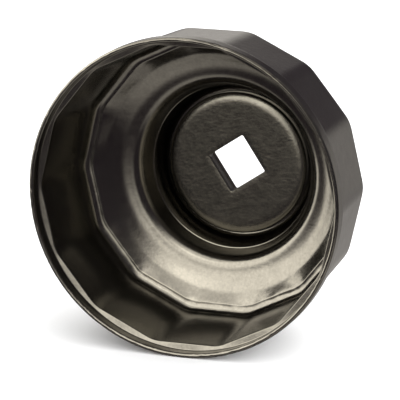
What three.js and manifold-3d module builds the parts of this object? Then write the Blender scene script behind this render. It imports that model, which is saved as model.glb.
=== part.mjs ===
import * as THREE from 'three';
import { mergeVertices } from 'three/addons/utils/BufferGeometryUtils.js';
import Module from 'manifold-3d';

// Cap-type oil filter wrench, lying on its side. Millimetres, +Z up.
// The cup's axis runs along +Y, from the open mouth to the drive boss.
// The origin is on that axis, halfway along the wrench.

// Driving dimensions. Depths are measured from the plane of the rim, along the axis.
const FLUTES = 14;
const RIM_RADIUS = 36;
const SHEET = 1.4;
const LIP_WIDTH = 1.05;
const LEDGE_RADIUS = 34.95;
const LEDGE_DEPTH = 2.75;
const SHOULDER_DEPTH = 3.8;
const SHOULDER_END_DEPTH = 4.5;
const MOUTH_ACROSS_FLATS = 67;
const FLOOR_ACROSS_FLATS = 64.4;
const WALL_START_DEPTH = 2.95;
const FLOOR_DEPTH = 25.25;
const RIDGE_RADIUS = 30.9;
const DISH_RADIUS = 27.8;
const DISH_DEPTH = 27;
const BOWL_RADIUS = 24.5;
const BOWL_DEPTH = 28.5;
const RECESS_EDGE_RADIUS = 20.6;
const RECESS_EDGE_DEPTH = 29.1;
const STEP_RADIUS = 19.15;
const STEP_DEPTH = 33.8;
const STEP_WIDTH = 0.2;
const RECESS_FLOOR_RADIUS = 17.8;
const RECESS_FLOOR_DEPTH = 40;
const DRIVE_SQUARE = 9.8;
const DRIVE_SQUARE_TURN = 33.8;
const PLATE_RADIUS = 16.5;
const PLATE_THICKNESS = 2.6;
const PLATE_EDGE_RADIUS = 0.6;
const SEAM_GAP = 0.3;

// Bend radii on the cup's inner side.
const FLOOR_BEND = 1.7;
const RIDGE_BEND = 2;
const DISH_BEND = 6;
const BOWL_BEND = 8;
const RECESS_EDGE_BEND = 3.2;
const RECESS_FLOOR_BEND = 1.2;

// How far each rounded flute corner falls short of a sharp one, as a share of the radius.
const FLUTE_CORNER_DROP = 0.008;

// Fineness of the solids.
const STEPS_PER_FLUTE = 6;
const BEND_STEP_DEGREES = 20;
const PLATE_SIDES = 56;

const OVERALL_DEPTH = RECESS_FLOOR_DEPTH + SHEET;
const FLUTE_HALF_ANGLE = Math.PI / FLUTES;
const MOUTH_CORNER_RADIUS = MOUTH_ACROSS_FLATS / 2 / Math.cos(FLUTE_HALF_ANGLE);
const FLOOR_CORNER_RADIUS = FLOOR_ACROSS_FLATS / 2 / Math.cos(FLUTE_HALF_ANGLE);

const wasm = await Module();
wasm.setup();

// Merges a closed geometry's shared vertices and makes it a solid.
function toSolid(geometry) {
  const bare = geometry.index ? geometry.toNonIndexed() : geometry.clone();
  bare.deleteAttribute('normal');
  bare.deleteAttribute('uv');
  const merged = mergeVertices(bare, 1e-4);
  const corners = merged.index.array;
  const triangles = [];
  for (let i = 0; i < corners.length; i += 3) {
    const [a, b, c] = [corners[i], corners[i + 1], corners[i + 2]];
    // A lathe leaves flat triangles where its profile meets the axis.
    if (a !== b && b !== c && c !== a) {
      triangles.push(a, b, c);
    }
  }
  return new wasm.Manifold(new wasm.Mesh({
    numProp: 3,
    vertProperties: Float32Array.from(merged.attributes.position.array),
    triVerts: Uint32Array.from(triangles),
  }));
}

function toGeometry(solid) {
  const mesh = solid.getMesh();
  const geometry = new THREE.BufferGeometry();
  geometry.setAttribute('position', new THREE.BufferAttribute(Float32Array.from(mesh.vertProperties), 3));
  geometry.setIndex(Array.from(mesh.triVerts));
  geometry.computeVertexNormals();
  return geometry;
}

// An open line through corners {radius, depth}. A corner that has a bend is rounded to that radius.
function roundedLine(corners) {
  const points = [];
  for (let i = 0; i < corners.length; i += 1) {
    const corner = new THREE.Vector2(corners[i].radius, corners[i].depth);
    if (!corners[i].bend) {
      points.push(corner);
      continue;
    }
    const before = new THREE.Vector2(corners[i - 1].radius, corners[i - 1].depth).sub(corner).normalize();
    const after = new THREE.Vector2(corners[i + 1].radius, corners[i + 1].depth).sub(corner).normalize();
    const turn = Math.PI - before.angleTo(after);
    const reach = corners[i].bend * Math.tan(turn / 2);
    const start = corner.clone().addScaledVector(before, reach);
    const middle = before.clone().add(after).normalize();
    const centre = corner.clone().addScaledVector(middle, corners[i].bend / Math.cos(turn / 2));
    const spoke = start.clone().sub(centre);
    const side = Math.sign(before.cross(after));
    const steps = Math.max(2, Math.ceil(THREE.MathUtils.radToDeg(turn) / BEND_STEP_DEGREES));
    for (let step = 0; step <= steps; step += 1) {
      const angle = -side * turn * step / steps;
      points.push(spoke.clone().rotateAround(new THREE.Vector2(), angle).add(centre));
    }
  }
  return points;
}

// The other face of the sheet: each point moves square to the line by the sheet's thickness.
function offsetLine(points, distance) {
  return points.map((point, i) => {
    const before = points[Math.max(i - 1, 0)];
    const after = points[Math.min(i + 1, points.length - 1)];
    const along = after.clone().sub(before).normalize();
    return new THREE.Vector2(point.x - along.y * distance, point.y + along.x * distance);
  });
}

// Distance from the axis to a rounded 14-sided outline whose sharp corners lie at radius 1.
// Each flat is centred on a multiple of the flute angle, counted from straight up.
function outline(angle) {
  const flute = 2 * FLUTE_HALF_ANGLE;
  const offCentre = Math.abs(angle - flute * Math.round(angle / flute));
  const flat = Math.cos(FLUTE_HALF_ANGLE) / Math.cos(offCentre);
  const nearCorner = 1 - (FLUTE_HALF_ANGLE - offCentre) / (flute / STEPS_PER_FLUTE);
  return flat - FLUTE_CORNER_DROP * Math.max(0, nearCorner);
}

// 0 where the cup is round, 1 where it is fully fluted. Each face of the sheet is round near the rim,
// then steps in to its flats, and the flutes fade out again inside the floor's ridge.
function fluteShare(point, start, end) {
  const fromRim = THREE.MathUtils.clamp((point.y - start) / (end - start), 0, 1);
  const acrossFloor = THREE.MathUtils.clamp((point.x - DISH_RADIUS) / (RIDGE_RADIUS - DISH_RADIUS), 0, 1);
  return fromRim * acrossFloor;
}

// The square drive hole, longer than the boss is deep.
function squareCutter() {
  const cutter = new THREE.BoxGeometry(DRIVE_SQUARE, OVERALL_DEPTH, DRIVE_SQUARE);
  cutter.rotateY(THREE.MathUtils.degToRad(-DRIVE_SQUARE_TURN));
  cutter.translate(0, OVERALL_DEPTH, 0);
  return toSolid(cutter);
}

// The cup is one pressed sheet: a lathed section, drawn in from round to fluted.
function cupShell() {
  const recessFloor = [
    { radius: 0, depth: RECESS_FLOOR_DEPTH },
    { radius: RECESS_FLOOR_RADIUS, depth: RECESS_FLOOR_DEPTH, bend: RECESS_FLOOR_BEND },
  ];
  // A narrow step goes round the recess's wall, on its inner side only.
  const step = [
    { radius: STEP_RADIUS - STEP_WIDTH, depth: STEP_DEPTH },
    { radius: STEP_RADIUS, depth: STEP_DEPTH },
  ];
  const cup = [
    { radius: RECESS_EDGE_RADIUS, depth: RECESS_EDGE_DEPTH, bend: RECESS_EDGE_BEND },
    { radius: BOWL_RADIUS, depth: BOWL_DEPTH, bend: BOWL_BEND },
    { radius: DISH_RADIUS, depth: DISH_DEPTH, bend: DISH_BEND },
    { radius: RIDGE_RADIUS, depth: FLOOR_DEPTH, bend: RIDGE_BEND },
    { radius: FLOOR_CORNER_RADIUS, depth: FLOOR_DEPTH, bend: FLOOR_BEND },
    { radius: MOUTH_CORNER_RADIUS, depth: WALL_START_DEPTH },
  ];
  const innerRim = [
    { radius: LEDGE_RADIUS, depth: LEDGE_DEPTH },
    { radius: RIM_RADIUS - LIP_WIDTH, depth: 0 },
  ];
  const inner = roundedLine([...recessFloor, ...step, ...cup, ...innerRim]);
  const outer = offsetLine(roundedLine([...recessFloor, ...cup]), SHEET);
  const [beforeLast, last] = outer.slice(-2);
  const alongWall = (SHOULDER_END_DEPTH - last.y) / (beforeLast.y - last.y);
  last.lerp(beforeLast, alongWall);
  const outerRim = [
    new THREE.Vector2(RIM_RADIUS, SHOULDER_DEPTH),
    new THREE.Vector2(RIM_RADIUS, 0),
  ];
  const outside = [...outer, ...outerRim].reverse();
  const shares = [
    ...inner.map((point) => fluteShare(point, LEDGE_DEPTH, WALL_START_DEPTH)),
    ...outside.map((point) => fluteShare(point, SHOULDER_DEPTH, SHOULDER_END_DEPTH)),
  ];
  const lathe = new THREE.LatheGeometry([...inner, ...outside], FLUTES * STEPS_PER_FLUTE);
  const position = lathe.attributes.position;
  for (let i = 0; i < position.count; i += 1) {
    const angle = Math.atan2(position.getX(i), position.getZ(i));
    const scale = 1 + shares[i % shares.length] * (outline(angle) - 1);
    position.setXYZ(i, position.getX(i) * scale, position.getY(i), position.getZ(i) * scale);
  }
  return toGeometry(toSolid(lathe).subtract(squareCutter()));
}

// The thick round plate that carries the drive square, seated in the cup's recess.
function drivePlate() {
  const back = RECESS_FLOOR_DEPTH - SEAM_GAP;
  const front = back - PLATE_THICKNESS;
  const side = roundedLine([
    { radius: 0, depth: back },
    { radius: PLATE_RADIUS, depth: back, bend: PLATE_EDGE_RADIUS },
    { radius: PLATE_RADIUS, depth: front, bend: PLATE_EDGE_RADIUS },
    { radius: 0, depth: front },
  ]);
  const lathe = new THREE.LatheGeometry(side.reverse(), PLATE_SIDES);
  return toGeometry(toSolid(lathe).subtract(squareCutter()));
}

// Each part is one mesh of its own bare-metal colour.
function addPart(parent, name, geometry, color, roughness) {
  const material = new THREE.MeshStandardMaterial({ color, roughness, metalness: 1 });
  const mesh = new THREE.Mesh(geometry, material);
  mesh.name = name;
  parent.add(mesh);
}

const group = new THREE.Group();
group.name = 'oil_filter_wrench';
group.position.y = -OVERALL_DEPTH / 2;
addPart(group, 'cup_shell', cupShell(), 0x77746a, 0.32);
addPart(group, 'drive_plate', drivePlate(), 0x5c594e, 0.45);

export default group;
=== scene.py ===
import math

import bpy
import numpy as np
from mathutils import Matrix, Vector, noise


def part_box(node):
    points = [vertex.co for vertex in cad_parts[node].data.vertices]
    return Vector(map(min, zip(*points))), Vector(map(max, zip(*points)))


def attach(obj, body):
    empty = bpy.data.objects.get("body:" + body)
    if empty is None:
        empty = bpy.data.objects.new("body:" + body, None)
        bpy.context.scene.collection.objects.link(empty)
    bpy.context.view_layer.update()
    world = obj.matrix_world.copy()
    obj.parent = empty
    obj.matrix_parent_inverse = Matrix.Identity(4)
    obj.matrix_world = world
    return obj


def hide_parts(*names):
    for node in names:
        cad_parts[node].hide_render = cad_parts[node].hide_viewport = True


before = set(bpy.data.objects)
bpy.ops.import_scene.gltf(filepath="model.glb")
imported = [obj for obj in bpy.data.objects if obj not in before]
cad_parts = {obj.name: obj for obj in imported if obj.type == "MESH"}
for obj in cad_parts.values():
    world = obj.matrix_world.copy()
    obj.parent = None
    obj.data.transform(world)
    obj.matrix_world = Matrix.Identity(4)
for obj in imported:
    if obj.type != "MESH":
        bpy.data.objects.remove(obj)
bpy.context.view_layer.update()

MM = 0.001

# Sizes from the frame. The cup's axis is the Y axis, and its mouth faces -Y.
cup_low, cup_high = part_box("cup_shell")
plate_low, plate_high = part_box("drive_plate")
RIM_RADIUS = cup_high[0]
MOUTH_Y = cup_low[1]
PLATE_RADIUS = plate_high[0]
PLATE_FRONT = plate_low[1] - MOUTH_Y
PLATE_BACK = plate_high[1] - MOUTH_Y
CUP_DEPTH = cup_high[1] - MOUTH_Y

# The rest of the pressing's section. Depths are measured from the plane of the rim.
FLUTES = 14
SHEET = 1.4 * MM
LIP_WIDTH = 1.05 * MM
LIP_ROLL = 0.5 * MM
LIP_CHAMFER = 0.35 * MM
LEDGE_RADIUS = 34.95 * MM
LEDGE_DEPTH = 2.75 * MM
SHOULDER_DEPTH = 3.8 * MM
SHOULDER_END_DEPTH = 4.5 * MM
MOUTH_ACROSS_FLATS = 67 * MM
FLOOR_ACROSS_FLATS = 64.4 * MM
WALL_START_DEPTH = 2.95 * MM
FLOOR_DEPTH = 25.25 * MM
FLOOR_BEND = 2 * MM
RIDGE_RADIUS = 30.9 * MM
RIDGE_BEND = 0.5 * MM
DISH_RADIUS = 27.8 * MM
DISH_DEPTH = 27 * MM
DISH_BEND = 6 * MM
BOWL_RADIUS = 24.5 * MM
BOWL_DEPTH = 28.5 * MM
BOWL_BEND = 8 * MM
RECESS_EDGE_RADIUS = 20.6 * MM
RECESS_EDGE_DEPTH = 29.1 * MM
RECESS_EDGE_BEND = 3.2 * MM
STEP_RADIUS = 19.15 * MM
STEP_DEPTH = 33.8 * MM
STEP_WIDTH = 0.2 * MM
RECESS_FLOOR_RADIUS = 17.8 * MM
RECESS_FLOOR_DEPTH = CUP_DEPTH - SHEET
RECESS_FLOOR_BEND = 1.2 * MM
FLUTE_CORNER_BEND = 8 * MM
DRIVE_HALF = 4.9 * MM
DRIVE_TURN = math.radians(33.8)
DRIVE_CORNER_BEND = 0.35 * MM

# Marks of the press: how wide the waves, nicks and wrinkles are, and how deep.
WAVE_SIZE = 9 * MM
WAVE_SHARE = 0.0008
NICK_SIZE = 0.8 * MM
NICK_WIDTH = 0.09 * MM
NICK_DEPTH = 0.07 * MM
WRINKLE_SIZE = 1.5 * MM
WRINKLE_DEPTH = 0.14 * MM

HALF_FLUTE = math.pi / FLUTES
MOUTH_CORNER_RADIUS = MOUTH_ACROSS_FLATS / 2 / math.cos(HALF_FLUTE)
FLOOR_CORNER_RADIUS = FLOOR_ACROSS_FLATS / 2 / math.cos(HALF_FLUTE)

# Camera, as seen from the mouth's side: its turn round the wrench, its height and its distance.
CAMERA_TURN = math.radians(19.79)
CAMERA_RISE = math.radians(13.83)
CAMERA_DISTANCE = 720 * MM
CAMERA_SHIFT = 4.16 * MM
CAMERA_LENS = 296.4
SENSOR_WIDTH = 36

# The floor's white light comes mostly from the back right, so its shadow falls to the front left.
FLOOR_LIGHT_LEAN = (1.7, 0.6, -0.1)
FLOOR_LIGHT = 2.1

# Turn, height, half width, half height, softness of the sides and of the ends (degrees), and strength
# of each reflected panel.
REFLECTED_PANELS = [
    (-49, 22, 53, 20, 13, 9, 4),
    (-49, 56, 53, 16, 13, 7, 2.2),
    (-72, -9, 25, 11, 6, 4, 2.6),
    (60, 78, 50, 20, 10, 10, 0.5),
    (-30, -50, 40, 12, 8, 8, 0.5),
    (30, -50, 40, 12, 8, 8, 0.3),
    (0, -80, 60, 22, 8, 8, 0.5),
    (-152, 13, 16, 12, 12, 8, 0.9),
    (158, -4, 14, 10, 8, 6, 0.4),
    (172, -24, 30, 9, 6, 6, 0.45),
]


# ---------------------------------------------------------------- sections

def rounded_line(corners, like=None):
    """A line of (radius, depth) points through corners (radius, depth, bend), each bent to its radius.

    The line gets the same number of points as the line through the corners in like.
    """
    plan = line_plan(like or corners)
    points = []
    for i, (start, end, centre, turn) in enumerate(corner_bends(corners)):
        if points:
            points += straight(points[-1], start, plan[i][0])
        if turn == 0:
            points.append(start)
            continue
        spoke = start - centre
        for k in range(plan[i][1] + 1):
            a = turn * k / plan[i][1]
            turned = (spoke[0] * math.cos(a) - spoke[1] * math.sin(a),
                      spoke[0] * math.sin(a) + spoke[1] * math.cos(a))
            points.append(centre + np.array(turned))
    return np.array(points)


def line_plan(corners, step=math.radians(7), spacing=0.7 * MM):
    """How many points the straight before each corner and the corner's own bend get."""
    plan = []
    last = None
    for start, end, _centre, turn in corner_bends(corners):
        count = 0 if last is None else int(np.linalg.norm(start - last) / spacing)
        plan.append((count, max(3, math.ceil(abs(turn) / step))))
        last = end
    return plan


def corner_bends(corners):
    """For each corner: where its bend starts and ends, the bend's centre and its signed turn."""
    bends = []
    for i, corner in enumerate(corners):
        here = np.array(corner[:2])
        if i in (0, len(corners) - 1) or corner[2] == 0:
            bends.append((here, here, here, 0))
            continue
        before = np.array(corners[i - 1][:2]) - here
        after = np.array(corners[i + 1][:2]) - here
        before /= np.linalg.norm(before)
        after /= np.linalg.norm(after)
        turn = math.pi - math.acos(float(np.clip(before @ after, -1, 1)))
        reach = corner[2] * math.tan(turn / 2)
        middle = (before + after) / np.linalg.norm(before + after)
        centre = here + middle * corner[2] / math.cos(turn / 2)
        side = math.copysign(1, before[0] * after[1] - before[1] * after[0])
        bends.append((here + before * reach, here + after * reach, centre, -side * turn))
    return bends


def straight(start, end, count):
    """Evenly spaced points between two points, without the two themselves."""
    return [start + (end - start) * (k + 1) / (count + 1) for k in range(count)]


def offset_corners(corners, distance):
    """The corners of the same line moved sideways by distance, with bends to match."""
    moved = []
    for i, corner in enumerate(corners):
        here = np.array(corner[:2])
        normals = []
        for a, b in ((i - 1, i), (i, i + 1)):
            if 0 <= a and b < len(corners):
                along = np.array(corners[b][:2]) - np.array(corners[a][:2])
                along /= np.linalg.norm(along)
                normals.append(np.array((-along[1], along[0])))
        mean = sum(normals) / np.linalg.norm(sum(normals))
        reach = distance / float(mean @ normals[0])
        bend = 0
        if len(normals) == 2:
            turn = normals[0][0] * normals[1][1] - normals[0][1] * normals[1][0]
            bend = max(corner[2] - math.copysign(distance, turn), 0.4 * MM)
        moved.append((*(here + mean * reach), bend))
    return moved


def flute_outline(angle):
    """Distance from the axis to the fluted outline whose sharp corners lie at radius 1.

    A flat is at the top.
    """
    flute = 2 * HALF_FLUTE
    off_flat = np.abs(angle - flute * np.round(angle / flute))
    flat = math.cos(HALF_FLUTE) / np.cos(off_flat)
    bend = FLUTE_CORNER_BEND / MOUTH_CORNER_RADIUS
    centre = 1 - bend / math.cos(HALF_FLUTE)
    off_corner = HALF_FLUTE - off_flat
    arc_end = math.atan2(bend * math.sin(HALF_FLUTE), centre + bend * math.cos(HALF_FLUTE))
    inside = np.maximum(bend ** 2 - (centre * np.sin(off_corner)) ** 2, 0)
    arc = centre * np.cos(off_corner) + np.sqrt(inside)
    return np.where(off_corner < arc_end, arc, flat)


def square_outline(angle, half):
    """Distance from the axis to the drive square's side, at an angle from straight up."""
    from_side = (angle - (math.pi / 2 - DRIVE_TURN)) % (math.pi / 2)
    off_side = np.minimum(from_side, math.pi / 2 - from_side)
    side = half / np.cos(off_side)
    bend = DRIVE_CORNER_BEND
    centre = (half - bend) * math.sqrt(2)
    off_corner = math.pi / 4 - off_side
    inside = bend ** 2 - (centre * np.sin(off_corner)) ** 2
    arc = centre * np.cos(off_corner) + np.sqrt(np.maximum(inside, 0))
    arc_end = math.pi / 4 - math.atan2(half - bend, half)
    return np.where(off_corner < arc_end, arc, side)


def smooth(value, low, high):
    """0 below low, 1 above high, and a smooth rise between."""
    t = np.clip((value - low) / (high - low), 0, 1)
    return t * t * (3 - 2 * t)


# ---------------------------------------------------------------- meshes

def grid_mesh(name, rows):
    """A closed mesh from rings of points. Each ring joins the next, and the last joins the first."""
    count, columns = rows.shape[0], rows.shape[1]
    index = np.arange(count * columns).reshape(count, columns)
    nxt = np.roll(index, -1, axis=0)
    quads = np.stack([index, nxt, np.roll(nxt, -1, axis=1), np.roll(index, -1, axis=1)], axis=-1)
    mesh = bpy.data.meshes.new(name)
    mesh.from_pydata(rows.reshape(-1, 3).tolist(), [], quads.reshape(-1, 4).tolist())
    mesh.validate()
    mesh.shade_smooth()
    piece = bpy.data.objects.new(name, mesh)
    bpy.context.collection.objects.link(piece)
    return piece


def waves_over(radius, depth, angles, size, offset):
    """Smooth waves, between -1 and 1, over the cup. The offset picks the pattern."""
    places = np.stack([radius * np.sin(angles), depth, radius * np.cos(angles)], axis=-1)
    values = [noise.noise(Vector(p)) for p in places.reshape(-1, 3) / size + offset]
    return np.array(values).reshape(radius.shape)


def flute_angles(across_flat=12, across_corner=10):
    """Angles from straight up, close together at the bent corners."""
    corner = 0.28 * HALF_FLUTE
    flat = np.linspace(-HALF_FLUTE + corner, HALF_FLUTE - corner, across_flat, endpoint=False)
    bent = np.linspace(HALF_FLUTE - corner, HALF_FLUTE + corner, across_corner, endpoint=False)
    one = np.concatenate([flat, bent])
    return np.concatenate([one + 2 * HALF_FLUTE * k for k in range(FLUTES)])


def snapped(angles, targets):
    """The angles, each nudged so that the nearest ones land on the targets."""
    pairs = sorted((angles[np.abs(angles - t).argmin()], t) for t in targets)
    source = [p[0] for p in pairs]
    goal = [p[1] for p in pairs]
    source = [source[-1] - 2 * math.pi] + source + [source[0] + 2 * math.pi]
    goal = [goal[-1] - 2 * math.pi] + goal + [goal[0] + 2 * math.pi]
    return np.interp(angles, source, goal)


def cup_corners(across):
    """The cup's section, from its recess round the lip to its outside.

    Its wall stands at a share of its distance at the flute's corners: 1 at a corner, less at a flat.
    """
    recess = [
        (0, RECESS_FLOOR_DEPTH, 0),
        (RECESS_FLOOR_RADIUS, RECESS_FLOOR_DEPTH, RECESS_FLOOR_BEND),
    ]
    step = [
        (STEP_RADIUS - STEP_WIDTH, STEP_DEPTH + 0.1 * MM, 0.1 * MM),
        (STEP_RADIUS, STEP_DEPTH, 0.06 * MM),
    ]
    wall = [
        (RECESS_EDGE_RADIUS, RECESS_EDGE_DEPTH, RECESS_EDGE_BEND),
        (BOWL_RADIUS, BOWL_DEPTH, BOWL_BEND),
        (DISH_RADIUS, DISH_DEPTH, DISH_BEND),
        (RIDGE_RADIUS * across, FLOOR_DEPTH, RIDGE_BEND),
        (FLOOR_CORNER_RADIUS * across, FLOOR_DEPTH, FLOOR_BEND),
        (MOUTH_CORNER_RADIUS * across, WALL_START_DEPTH, 0.25 * MM),
    ]
    lip = [
        (LEDGE_RADIUS, LEDGE_DEPTH, 0.25 * MM),
        (RIM_RADIUS - LIP_WIDTH, 0, LIP_ROLL),
        (RIM_RADIUS - LIP_CHAMFER, 0, 0.15 * MM),
        (RIM_RADIUS, LIP_CHAMFER, 0.3 * MM),
        (RIM_RADIUS, SHOULDER_DEPTH, 1 * MM),
    ]
    outside = offset_corners(recess + wall, SHEET)
    slope = (outside[-2][0] - outside[-1][0]) / (outside[-2][1] - outside[-1][1])
    at_shoulder = outside[-1][0] + slope * (SHOULDER_END_DEPTH - outside[-1][1])
    outside[-1] = (at_shoulder, SHOULDER_END_DEPTH, 1 * MM)
    return recess + step + wall + lip + outside[::-1]


def pressed_marks(radius, depth, angles, inner):
    """What the press leaves on the sheet: slight waves, a nicked lip and a ridge wrinkled low down."""
    wave = waves_over(radius, depth, angles, WAVE_SIZE, 3.1)
    loose = smooth(depth, 0, 6 * MM) * smooth(radius, RECESS_EDGE_RADIUS, RIDGE_RADIUS)
    radius = radius * (1 - WAVE_SHARE * loose * (1 + wave))
    on_lip = smooth(-depth, -0.7 * MM, -0.1 * MM)
    nicks = smooth(waves_over(radius, depth, angles, NICK_SIZE, 5.7), 0.1, 0.6)
    radius = radius - NICK_WIDTH * on_lip * nicks
    depth = depth + NICK_DEPTH * on_lip * nicks
    near_ridge = np.exp(-((radius - RIDGE_RADIUS * 0.985) / (0.9 * MM)) ** 2) * inner
    near_ridge = near_ridge * (np.abs(depth - FLOOR_DEPTH) < 2 * MM)
    low_side = 0.25 + 0.75 * smooth(-np.cos(angles), 0.55, 0.85)
    wrinkle = waves_over(radius, depth, angles, WRINKLE_SIZE, 8.4)
    return radius, depth + WRINKLE_DEPTH * near_ridge * low_side * wrinkle


def cup_piece():
    """The pressed cup, drawn from round to fluted, with its square hole."""
    at_corner = cup_corners(1)
    corner_line = rounded_line(at_corner)
    flat_line = rounded_line(cup_corners(math.cos(HALF_FLUTE)), like=at_corner)
    kept = corner_line[:, 0] > 15 * MM
    corner_line = corner_line[kept]
    flat_line = flat_line[kept]
    angles = flute_angles()
    corners = [(math.pi / 4 + math.pi / 2 - DRIVE_TURN + k * math.pi / 2) % (2 * math.pi) for k in range(4)]
    hole_angles = snapped(angles, corners)
    share = (flute_outline(angles) - math.cos(HALF_FLUTE)) / (1 - math.cos(HALF_FLUTE))
    section = flat_line[:, None, :] + (corner_line - flat_line)[:, None, :] * share[None, :, None]
    radius, depth = section[..., 0], section[..., 1]
    inner = np.arange(len(depth)) < int(np.argmax(corner_line[:, 1] < 0.01 * MM))
    radius, depth = pressed_marks(radius, depth, angles, inner[:, None])
    rows = [np.stack([radius * np.sin(angles), depth + MOUTH_Y, radius * np.cos(angles)], axis=-1)]
    ring = [
        (DRIVE_HALF + 2.5 * MM, CUP_DEPTH, 0.7), (DRIVE_HALF + 0.5 * MM, CUP_DEPTH, 1),
        (DRIVE_HALF + 0.15 * MM, CUP_DEPTH, 1), (DRIVE_HALF, CUP_DEPTH - 0.15 * MM, 1),
        (DRIVE_HALF, RECESS_FLOOR_DEPTH + 0.15 * MM, 1), (DRIVE_HALF + 0.15 * MM, RECESS_FLOOR_DEPTH, 1),
        (DRIVE_HALF + 0.5 * MM, RECESS_FLOOR_DEPTH, 1), (DRIVE_HALF + 2.5 * MM, RECESS_FLOOR_DEPTH, 0.7),
    ]
    for half, at_depth, squareness in ring:
        a = angles + (hole_angles - angles) * squareness
        r = square_outline(a, half) * squareness + half * 1.3 * (1 - squareness)
        y = np.full_like(a, at_depth + MOUTH_Y)
        rows.append(np.stack([r * np.sin(a), y, r * np.cos(a)], axis=-1)[None])
    return grid_mesh("cup_pressing", np.concatenate(rows))


def plate_piece():
    """The blanked drive plate, with a rolled outer edge and a punched square hole."""
    per_side = 44
    start = math.pi / 4 + math.pi / 2 - DRIVE_TURN
    angles = start + np.arange(4 * per_side) * (math.pi / 2 / per_side)
    edge = 2.2 * MM
    drop = 0.8 * MM
    roll = 0.15 * MM
    turn = np.linspace(0, math.pi / 2, 7)
    rings = [(DRIVE_HALF, PLATE_BACK - 0.1 * MM, 1), (DRIVE_HALF, PLATE_FRONT + roll + 0.6 * MM, 1)]
    for t in turn:
        rings.append((DRIVE_HALF + roll * (1 - math.cos(t)), PLATE_FRONT + roll * (1 - math.sin(t)), 1))
    face_start = DRIVE_HALF + roll
    face_width = PLATE_RADIUS - edge - face_start
    for k in range(1, 8):
        rings.append((face_start + face_width * k / 8, PLATE_FRONT, 1 - k / 8))
    for t in turn:
        rings.append((PLATE_RADIUS - edge * (1 - math.sin(t)), PLATE_FRONT + drop * (1 - math.cos(t)), 0))
    rings += [(PLATE_RADIUS, PLATE_BACK - 0.2 * MM, 0), (PLATE_RADIUS - 0.2 * MM, PLATE_BACK, 0)]
    rings += [(PLATE_RADIUS * 0.6, PLATE_BACK, 0.4), (DRIVE_HALF + 0.1 * MM, PLATE_BACK, 1)]
    rows = []
    for half, at_depth, squareness in rings:
        r = square_outline(angles, half) * squareness + half * (1 - squareness)
        y = np.full_like(angles, at_depth + MOUTH_Y)
        rows.append(np.stack([r * np.sin(angles), y, r * np.cos(angles)], axis=-1))
    return grid_mesh("drive_plate_blank", np.array(rows))


# ---------------------------------------------------------------- materials

def new_material(name):
    """A metal material, and a function that adds and wires up nodes in it."""
    material = bpy.data.materials.new(name)
    material.use_nodes = True
    nodes = material.node_tree.nodes
    links = material.node_tree.links
    nodes["Principled BSDF"].inputs["Metallic"].default_value = 1

    def add(kind, **inputs):
        node = nodes.new("ShaderNode" + kind)
        for label, value in inputs.items():
            socket = node.inputs[label.replace("_", " ")]
            if hasattr(value, "is_output"):
                links.new(value, socket)
            else:
                socket.default_value = value
        return node

    return material, add, links


def plated_steel(name, colour, roughness, peel_strength, grain_strength, streak_strength):
    """Dark nickel plate over pressed steel: mottled, with orange peel, fine grain and drawing marks."""
    material, add, links = new_material(name)
    shader = material.node_tree.nodes["Principled BSDF"]
    place = add("TexCoord").outputs["Object"]

    blotch = add("TexNoise", Vector=place, Scale=330, Detail=3).outputs["Fac"]
    speckle = add("TexNoise", Vector=place, Scale=1700, Detail=3).outputs["Fac"]
    mottling = add("Mix", Factor=0.5, A=blotch, B=speckle)
    tint = add("ValToRGB", Fac=mottling.outputs["Result"])
    tint.color_ramp.elements[0].position = 0.35
    tint.color_ramp.elements[0].color = (*[c * 0.88 for c in colour], 1)
    tint.color_ramp.elements[1].position = 0.65
    tint.color_ramp.elements[1].color = (*[c * 1.1 for c in colour], 1)
    links.new(tint.outputs["Color"], shader.inputs["Base Color"])

    worn = add("TexNoise", Vector=place, Scale=600, Detail=8).outputs["Fac"]
    rough = add("MapRange", Value=worn, To_Min=roughness * 0.8, To_Max=roughness * 1.2)
    links.new(rough.outputs["Result"], shader.inputs["Roughness"])

    stretched = add("Mapping", Vector=place, Scale=(0.06, 0.3, 1)).outputs["Vector"]
    streaks = add("TexNoise", Vector=stretched, Scale=1500, Detail=3).outputs["Fac"]
    peel = add("TexNoise", Vector=place, Scale=700, Detail=3).outputs["Fac"]
    grain = add("TexNoise", Vector=place, Scale=1800, Detail=4).outputs["Fac"]
    bumps = ((streaks, streak_strength, 0.02), (peel, peel_strength, 0.06), (grain, grain_strength, 0.03))
    normal = None
    for height, strength, distance in bumps:
        bump = add("Bump", Height=height, Strength=strength, Distance=distance * MM)
        if normal is not None:
            links.new(normal, bump.inputs["Normal"])
        normal = bump.outputs["Normal"]
    links.new(normal, shader.inputs["Normal"])
    return material


# ---------------------------------------------------------------- stage

def make_camera():
    """The camera, in front of the mouth, turned and raised round the middle of the rim."""
    back = Vector((math.sin(CAMERA_TURN) * math.cos(CAMERA_RISE),
                   -math.cos(CAMERA_TURN) * math.cos(CAMERA_RISE),
                   math.sin(CAMERA_RISE)))
    right = Vector((math.cos(CAMERA_TURN), math.sin(CAMERA_TURN), 0))
    data = bpy.data.cameras.new("camera")
    data.lens = CAMERA_LENS
    data.sensor_width = SENSOR_WIDTH
    data.clip_start = 0.01
    camera = bpy.data.objects.new("camera", data)
    camera.location = Vector((0, MOUTH_Y, 0)) + right * CAMERA_SHIFT + back * CAMERA_DISTANCE
    camera.rotation_mode = "QUATERNION"
    camera.rotation_quaternion = (-back).to_track_quat("-Z", "Y")
    bpy.context.collection.objects.link(camera)
    bpy.context.scene.camera = camera


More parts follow.
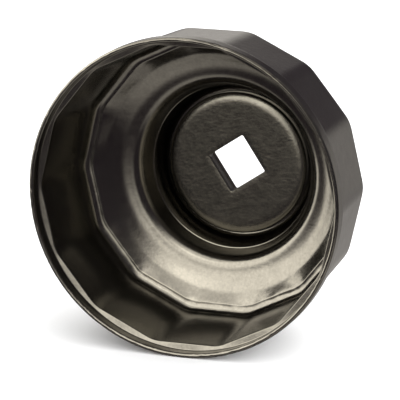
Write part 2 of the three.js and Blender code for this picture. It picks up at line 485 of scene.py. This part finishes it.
def make_floor():
    """A white floor that touches the rim and the closed end's lowest bend."""
    apothem = FLOOR_ACROSS_FLATS / 2 + SHEET
    run = FLOOR_DEPTH - FLOOR_BEND
    slope = math.atan2(RIM_RADIUS - apothem, run)
    half = 3
    corners = [(-half, -half, 0), (half, -half, 0), (half, half, 0), (-half, half, 0)]
    mesh = bpy.data.meshes.new("floor")
    mesh.from_pydata(corners, [], [(0, 1, 2, 3)])
    floor = bpy.data.objects.new("floor", mesh)
    floor.location = (0, MOUTH_Y, -RIM_RADIUS)
    floor.rotation_euler = (slope, 0, 0)
    bpy.context.collection.objects.link(floor)
    material = bpy.data.materials.new("floor_white")
    material.use_nodes = True
    shader = material.node_tree.nodes["Principled BSDF"]
    shader.inputs["Base Color"].default_value = (0.9, 0.9, 0.9, 1)
    shader.inputs["Roughness"].default_value = 1
    shader.inputs["Specular IOR Level"].default_value = 0
    mesh.materials.append(material)
    floor.visible_glossy = False


def make_world():
    """White to the camera, soft white light for the floor, and a dim studio with soft panels to reflect."""
    world = bpy.data.worlds.new("studio")
    world.use_nodes = True
    bpy.context.scene.world = world
    nodes = world.node_tree.nodes
    links = world.node_tree.links
    nodes.clear()
    place = nodes.new("ShaderNodeTexCoord")

    def math_node(kind, a, b=0.0):
        node = nodes.new("ShaderNodeMath")
        node.operation = kind
        for socket, value in zip(node.inputs, (a, b)):
            if hasattr(value, "is_output"):
                links.new(value, socket)
            else:
                socket.default_value = value
        return node.outputs[0]

    def panel(turn, rise, width, height, soft_sides, soft_ends, light):
        """A soft panel centred at an angle from -Y towards +X, and at a height, all in degrees."""
        t, r = math.radians(turn), math.radians(rise)
        out = Vector((math.sin(t) * math.cos(r), -math.cos(t) * math.cos(r), math.sin(r)))
        side = Vector((math.cos(t), math.sin(t), 0))
        up = side.cross(-out)
        masks = []
        for axis, spread, soft in ((side, width, soft_sides), (up, height, soft_ends)):
            dot = nodes.new("ShaderNodeVectorMath")
            dot.operation = "DOT_PRODUCT"
            links.new(place.outputs["Generated"], dot.inputs[0])
            dot.inputs[1].default_value = axis
            edge = nodes.new("ShaderNodeMapRange")
            edge.interpolation_type = "SMOOTHSTEP"
            edge.inputs["From Min"].default_value = math.sin(math.radians(min(89, spread + soft)))
            edge.inputs["From Max"].default_value = math.sin(math.radians(max(0, spread - soft)))
            links.new(math_node("ABSOLUTE", dot.outputs["Value"]), edge.inputs["Value"])
            masks.append(edge.outputs["Result"])
        dot = nodes.new("ShaderNodeVectorMath")
        dot.operation = "DOT_PRODUCT"
        links.new(place.outputs["Generated"], dot.inputs[0])
        dot.inputs[1].default_value = out
        masks.append(math_node("GREATER_THAN", dot.outputs["Value"], 0.0))
        both = math_node("MULTIPLY", math_node("MULTIPLY", masks[0], masks[1]), masks[2])
        return math_node("MULTIPLY", both, light)

    total = 0
    for settings in REFLECTED_PANELS:
        total = math_node("ADD", panel(*settings), total)
    lit = nodes.new("ShaderNodeBackground")
    lit.inputs["Color"].default_value = (1, 0.97, 0.9, 1)
    links.new(total, lit.inputs["Strength"])
    unlit = nodes.new("ShaderNodeBackground")
    unlit.inputs["Color"].default_value = (0.05, 0.038, 0.05, 1)
    studio = nodes.new("ShaderNodeAddShader")
    links.new(lit.outputs["Background"], studio.inputs[0])
    links.new(unlit.outputs["Background"], studio.inputs[1])
    lean = nodes.new("ShaderNodeVectorMath")
    lean.operation = "DOT_PRODUCT"
    links.new(place.outputs["Generated"], lean.inputs[0])
    lean.inputs[1].default_value = FLOOR_LIGHT_LEAN
    white = nodes.new("ShaderNodeBackground")
    white.inputs["Color"].default_value = (1, 1, 1, 1)
    links.new(math_node("ADD", lean.outputs["Value"], FLOOR_LIGHT), white.inputs["Strength"])
    ray = nodes.new("ShaderNodeLightPath")
    mix = nodes.new("ShaderNodeMixShader")
    links.new(ray.outputs["Is Glossy Ray"], mix.inputs["Fac"])
    links.new(white.outputs["Background"], mix.inputs[1])
    links.new(studio.outputs["Shader"], mix.inputs[2])
    out = nodes.new("ShaderNodeOutputWorld")
    links.new(mix.outputs["Shader"], out.inputs["Surface"])


make_camera()
make_floor()
make_world()

cup = cup_piece()
cup.data.materials.append(plated_steel("plated_sheet", (0.165, 0.156, 0.136), 0.2, 0.25, 0.25, 0.4))
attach(cup, "root")
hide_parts("cup_shell")

plate = plate_piece()
plate.data.materials.append(plated_steel("plated_plate", (0.138, 0.131, 0.112), 0.24, 0.5, 0.9, 0))
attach(plate, "root")
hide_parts("drive_plate")

bpy.context.scene.view_settings.view_transform = "Standard"
